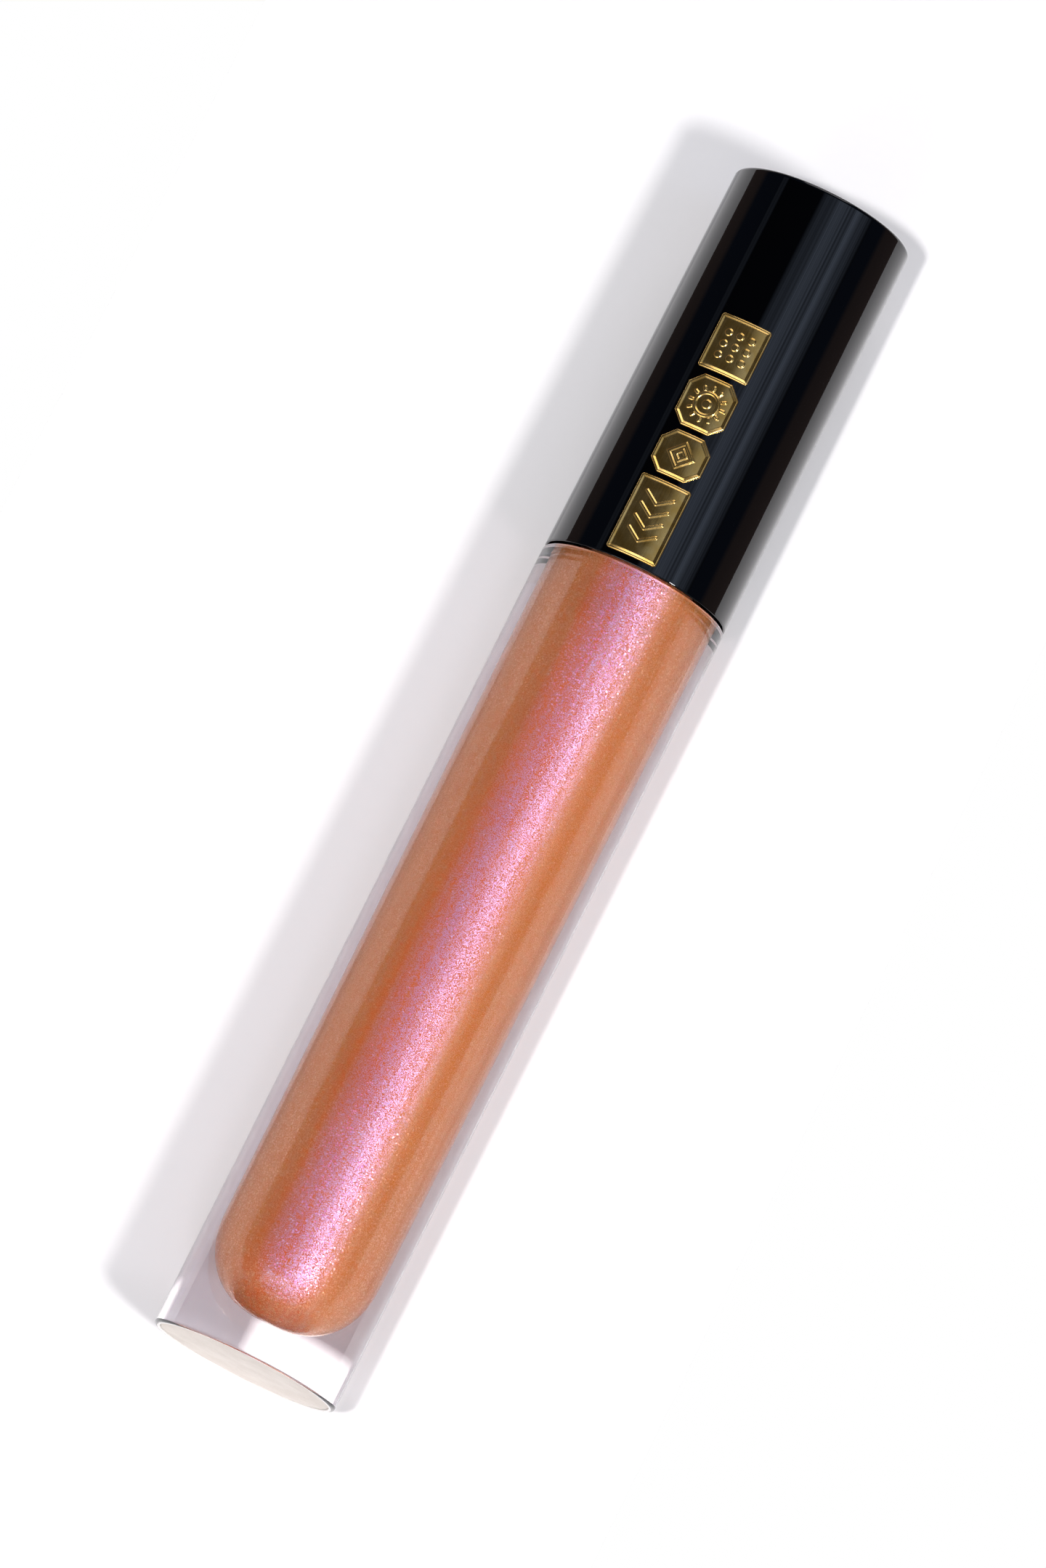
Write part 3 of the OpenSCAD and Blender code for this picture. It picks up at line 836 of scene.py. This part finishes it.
def build_plate(name, outline, corner, mark, gold):
    """A stamped plate on the cap: a fine grid, closed by a skirt and an underside within the cap's wall."""
    lo, hi = low(name), high(name)
    w, h, mid = hi.x - lo.x, hi.z - lo.z, (hi.z + lo.z) / 2
    sunk = 0.15
    x, y, outside = plate_grid(outline, w, h, corner)
    z, turn = mid + y, x / cap_radius(mid)
    depth = np.maximum(-outline(x, y, w, h, corner), 0)
    r = cap_radius(z) + plate_height(depth, mark(x, y))
    layers = []
    for reach in (r, cap_radius(z) - sunk):
        layers.append(np.stack([reach * np.sin(turn), -reach * np.cos(turn), z], -1).reshape(-1, 3))
    index = np.arange(x.size).reshape(x.shape)
    quads = np.stack([index[:-1, :-1], index[1:, :-1], index[1:, 1:], index[:-1, 1:]], -1).reshape(-1, 4)
    gone = outside.reshape(-1)[quads].all(1)
    top = quads[~gone].tolist()
    skirt = [(b, a, a + x.size, b + x.size) for a, b in free_edges(top)]
    bottom = [tuple(x.size + i for i in quad[::-1]) for quad in top]
    plate = mesh_object(name + "_gold", np.concatenate(layers), top + skirt + bottom, gold, sharp=60)
    tidy_mesh(plate)
    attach(plate, "cap")
    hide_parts(name)


def tidy_mesh(obj):
    """Merges points that fell together, drops loose ones and turns every face outwards."""
    together, sliver = 0.002 * MM, 0.001 * MM
    work = bmesh.new()
    work.from_mesh(obj.data)
    bmesh.ops.remove_doubles(work, verts=work.verts, dist=together)
    bmesh.ops.dissolve_degenerate(work, edges=work.edges, dist=sliver)
    bmesh.ops.delete(work, geom=[v for v in work.verts if not v.link_faces], context="VERTS")
    bmesh.ops.recalc_face_normals(work, faces=work.faces)
    work.to_mesh(obj.data)
    work.free()


# ---------------------------------------------------------------- stage, lights and camera

CAMERA_AZIMUTH = math.radians(10.8)
CAMERA_ELEVATION = math.radians(-11.0)
CAMERA_ROLL = math.radians(26.66)
CAMERA_DISTANCE = 850 * MM
CAMERA_LENS = 223.9
CAMERA_AIM_SIDE = -1.06 * MM
CAMERA_AIM_HEIGHT = 56.68 * MM

STAGE_AZIMUTH = math.radians(6.3)
STAGE_NORMAL = Vector((math.sin(STAGE_AZIMUTH), -math.cos(STAGE_AZIMUTH), 0))
STAGE_RIGHT = Vector((math.cos(STAGE_AZIMUTH), math.sin(STAGE_AZIMUTH), 0))
AXIS = Vector((0, 0, 1))
LIGHT_AIM = Vector((0, 0, 57 * MM))


def turned_to(right, up, back):
    """The rotation whose columns are these three directions."""
    return Matrix([[right[i], up[i], back[i]] for i in range(3)]).to_4x4()


def add_camera():
    """Looks at the tube a little from its right and from below, and is rolled so that the tube leans."""
    side = Vector((math.cos(CAMERA_AZIMUTH), math.sin(CAMERA_AZIMUTH), 0))
    back = Vector((
        math.sin(CAMERA_AZIMUTH) * math.cos(CAMERA_ELEVATION),
        -math.cos(CAMERA_AZIMUTH) * math.cos(CAMERA_ELEVATION),
        math.sin(CAMERA_ELEVATION),
    ))
    up = back.cross(side)
    right = side * math.cos(CAMERA_ROLL) + up * math.sin(CAMERA_ROLL)
    top = up * math.cos(CAMERA_ROLL) - side * math.sin(CAMERA_ROLL)
    aim = side * CAMERA_AIM_SIDE + AXIS * CAMERA_AIM_HEIGHT
    data = bpy.data.cameras.new("camera")
    data.lens = CAMERA_LENS
    data.sensor_width = 36
    data.clip_start = 0.01
    camera = bpy.data.objects.new("camera", data)
    camera.matrix_world = Matrix.Translation(aim + back * CAMERA_DISTANCE) @ turned_to(right, top, back)
    bpy.context.scene.collection.objects.link(camera)
    bpy.context.scene.camera = camera


WHITE = (1.0, 0.98, 0.97)
COOL_WHITE = (1.0, 0.97, 0.99)


def soft_light(
    name, slope_right, slope_up, distance, size, radiance, colour, shape="RECTANGLE", hidden_from=(),
):
    """An area light that faces the tube. Its direction is given by slopes against the stage's normal, and
    hidden_from names the kinds of ray that don't see it."""
    direction = (STAGE_NORMAL + STAGE_RIGHT * slope_right + AXIS * slope_up).normalized()
    width, height = size
    data = bpy.data.lights.new(name, "AREA")
    data.shape = shape
    data.size, data.size_y = width, height
    area = width * height * (math.pi / 4 if shape == "ELLIPSE" else 1)
    data.energy = radiance * math.pi * area
    data.color = colour
    light = bpy.data.objects.new(name, data)
    light.location = LIGHT_AIM + direction * distance
    light.rotation_euler = direction.to_track_quat("Z", "Y").to_euler()
    light.visible_camera = False
    bpy.context.scene.collection.objects.link(light)
    for way in hidden_from:
        setattr(light, "visible_" + way, False)


def add_lights():
    """The key and the lamp light what is matt. key_sparkle, beside the key, is what shiny surfaces mirror."""
    key, lamp, panel = (0.21, 0.21), (0.09, 0.09), (0.9, 0.7)
    no_gloss, no_matt = ("transmission", "glossy"), ("transmission", "diffuse")
    soft_light("key", 0.625, -0.287, 1.5, key, 121, WHITE, "ELLIPSE", no_gloss)
    soft_light("key_sparkle", 0.86, -0.287, 1.49, key, 118, WHITE, "ELLIPSE", no_matt)
    soft_light("lamp", -0.10, -0.25, 1.5, lamp, 570, WHITE, "ELLIPSE", no_gloss)
    soft_light("fill_above", -0.1, 1.9, 1.2, panel, 2.0, COOL_WHITE)
    soft_light("fill_below", -0.3, -1.9, 1.2, panel, 2.0, COOL_WHITE)


# Angle to the right of the stage's normal, in degrees, and brightness there
WINDOW_BRIGHTNESS = [
    (-60, 0.0), (-59, 0.12), (-53, 0.12), (-52, 0.0), (-6, 0.0), (-4, 0.1), (-1, 0.26), (8, 0.30),
    (14, 0.42), (18, 0.70), (27, 0.62), (33, 0.40), (38, 0.46), (40, 0.85), (44, 0.80), (47, 0.48),
    (57, 0.28), (64, 0.0),
]


def window_material():
    """Cool daylight that varies across the window by the angle at which the tube sees it, with fine lines."""
    made, tree = material("window_light")
    place = node(tree, "SeparateXYZ", {0: node(tree, "TexCoord").outputs["Object"]})
    angle = math_node(tree, "ARCTAN2", place.outputs[0], place.outputs[1])
    lowest, highest = (math.radians(WINDOW_BRIGHTNESS[i][0]) for i in (0, -1))
    across = spread(tree, angle, lowest, highest, 0, 1)
    ramp = node(tree, "ValToRGB", {0: across})
    stops = ramp.color_ramp.elements
    while len(stops) < len(WINDOW_BRIGHTNESS):
        stops.new(0.5)
    for stop, (degrees, level) in zip(stops, WINDOW_BRIGHTNESS):
        stop.position = (math.radians(degrees) - lowest) / (highest - lowest)
        stop.color = rgb(level, level, level)
    lines = node(tree, "TexNoise", {"W": angle, "Scale": 26.0, "Detail": 4.0}, noise_dimensions="1D")
    varied = spread(tree, lines.outputs[0], 0.3, 0.7, 0.6, 1.4)
    level = math_node(tree, "MULTIPLY", ramp.outputs[0], varied)
    glow = node(tree, "Emission", {"Color": rgb(0.84, 1.0, 1.32), "Strength": level}).outputs[0]
    finish_material(tree, glow)
    return made


def add_window():
    """A curved screen on the camera's side, towards the cap's end. It shows only in reflections."""
    radius, foot, head, steps = 1.2, -0.02, 0.42, 60
    first, last = WINDOW_BRIGHTNESS[0][0], WINDOW_BRIGHTNESS[-1][0]
    verts = []
    for i in range(steps + 1):
        angle = math.radians(first + (last - first) * i / steps)
        verts += [(radius * math.sin(angle), radius * math.cos(angle), z) for z in (foot, head)]
    faces = [(2 * i, 2 * i + 1, 2 * i + 3, 2 * i + 2) for i in range(steps)]
    mesh = bpy.data.meshes.new("window_screen")
    mesh.from_pydata(verts, [], faces)
    mesh.materials.append(window_material())
    screen = bpy.data.objects.new("window_screen", mesh)
    screen.matrix_world = Matrix.Translation(LIGHT_AIM) @ turned_to(STAGE_RIGHT, STAGE_NORMAL, AXIS)
    screen.visible_camera = False
    bpy.context.scene.collection.objects.link(screen)


def board_material():
    """Matt white board that is seen and lit only from its front. Behind the tube it carries painted light: an
    emission in place of the light that the clear wall and base gather, faint beside the gloss, more near the
    foot, and most where the lamp comes to a focus behind the solid base, which acts as a lens."""
    made, tree = material("stage_white")
    coords = local_coords(tree)
    grain = noise(tree, coords, 900, 3.0)
    tone = blend_colour(tree, grain, rgb(0.867, 0.862, 0.872), rgb(0.88, 0.875, 0.885))
    right, up, _ = node(tree, "SeparateXYZ", {0: coords}).outputs
    # Painted light: emission on the board behind the tube, in place of the caustics of the clear wall and
    # base
    left_end = spread(tree, right, -1.05 * MM, -0.65 * MM, 0, 1)
    right_end = spread(tree, right, 3.0 * MM, 3.6 * MM, 1.2, 0)
    low_end = spread(tree, up, 0.9 * MM, 1.4 * MM, 0, 1)
    high_end = spread(tree, up, 4.2 * MM, 5.6 * MM, 1, 0)
    painted_focus = math_node(tree, "MULTIPLY", math_node(tree, "MULTIPLY", low_end, high_end), left_end)
    beside = spread(tree, math_node(tree, "ABSOLUTE", right), 5.5 * MM, 8.6 * MM, 0.24, 0)
    under_bottle = spread(tree, up, 76 * MM, 77 * MM, 1, 0)
    near_foot = spread(tree, up, 2.0 * MM, 4.5 * MM, 1.7, 1)
    glow = math_node(tree, "MULTIPLY", beside, math_node(tree, "MULTIPLY", under_bottle, near_foot))
    light = math_node(tree, "ADD", math_node(tree, "MULTIPLY", painted_focus, right_end), glow)
    warm = blend_colour(tree, painted_focus, rgb(1.0, 0.90, 0.96), rgb(1.0, 0.98, 0.95))
    surface = principled(
        tree, base_color=tone, roughness=0.8, specular_ior_level=0.2,
        emission_color=warm, emission_strength=light,
    )
    behind = node(tree, "NewGeometry").outputs["Backfacing"]
    clear = node(tree, "BsdfTransparent").outputs[0]
    finish_material(tree, node(tree, "MixShader", {0: behind, 1: surface, 2: clear}).outputs[0])
    return made


def add_stage():
    """The pale board that the tube lies on in the picture: the plane that its back touches. Its own X runs
    to the right and its Y along the tube, from the base."""
    left, right, reach, gap = -54 * MM, 34 * MM, 250 * MM, 0.02
    corners = [(left, -reach, 0), (right, -reach, 0), (right, reach, 0), (left, reach, 0)]
    mesh = bpy.data.meshes.new("stage_board")
    mesh.from_pydata(corners, [], [(0, 1, 2, 3)])
    mesh.materials.append(board_material())
    board = bpy.data.objects.new("stage_board", mesh)
    touch = -STAGE_NORMAL * (SHOULDER_R + gap) * MM
    board.matrix_world = Matrix.Translation(touch) @ turned_to(STAGE_RIGHT, AXIS, STAGE_NORMAL)
    bpy.context.scene.collection.objects.link(board)


def add_world():
    """A dim room: warm near the board, cool in front of it, and a paler grey beyond the tube's foot. The
    camera itself sees plain white."""
    world = bpy.data.worlds.new("room")
    world.use_nodes = True
    tree = world.node_tree
    tree.nodes.clear()
    direction = node(tree, "TexCoord").outputs["Generated"]
    ahead = node(tree, "VectorMath", {0: direction, 1: STAGE_NORMAL}, operation="DOT_PRODUCT").outputs[1]
    in_front = spread(tree, ahead, 0.0, 0.12, 0, 1)
    colour = blend_colour(tree, in_front, rgb(0.14, 0.10, 0.09), rgb(0.022, 0.032, 0.055))
    down = node(tree, "VectorMath", {0: direction, 1: -AXIS}, operation="DOT_PRODUCT").outputs[1]
    beyond_foot = spread(tree, down, 0.3, 0.7, 0, 1)
    colour = blend_colour(tree, beyond_foot, colour, rgb(0.30, 0.29, 0.29))
    room = node(tree, "Background", {"Color": colour, "Strength": 1.0}).outputs[0]
    white = node(tree, "Background", {"Color": rgb(1, 1, 1), "Strength": 1.0}).outputs[0]
    seen = node(tree, "LightPath").outputs["Is Camera Ray"]
    both = node(tree, "MixShader", {0: seen, 1: room, 2: white}).outputs[0]
    node(tree, "OutputWorld", {"Surface": both})
    bpy.context.scene.world = world


def main():
    bpy.context.scene.view_settings.view_transform = "Standard"
    add_camera()
    add_stage()
    add_lights()
    add_window()
    add_world()
    build_bottle(clear_plastic(), frosted_plastic())
    build_gloss(pearl_gloss())
    build_label(label_paper())
    build_wiper(soft_polymer())
    build_seal(foam_liner())
    build_outer_cap(black_lacquer())
    build_inner_cap(satin_black("insert_black", smear=False))
    build_rod(satin_black("rod_black", smear=True))
    flock = wet_flock()
    build_flocking(flock)
    build_fibres(flock)
    finish_core(tip_plastic())
    gold = stamped_gold()
    for name, outline, corner, mark in PLATES:
        build_plate(name, outline, corner, mark, gold)


main()
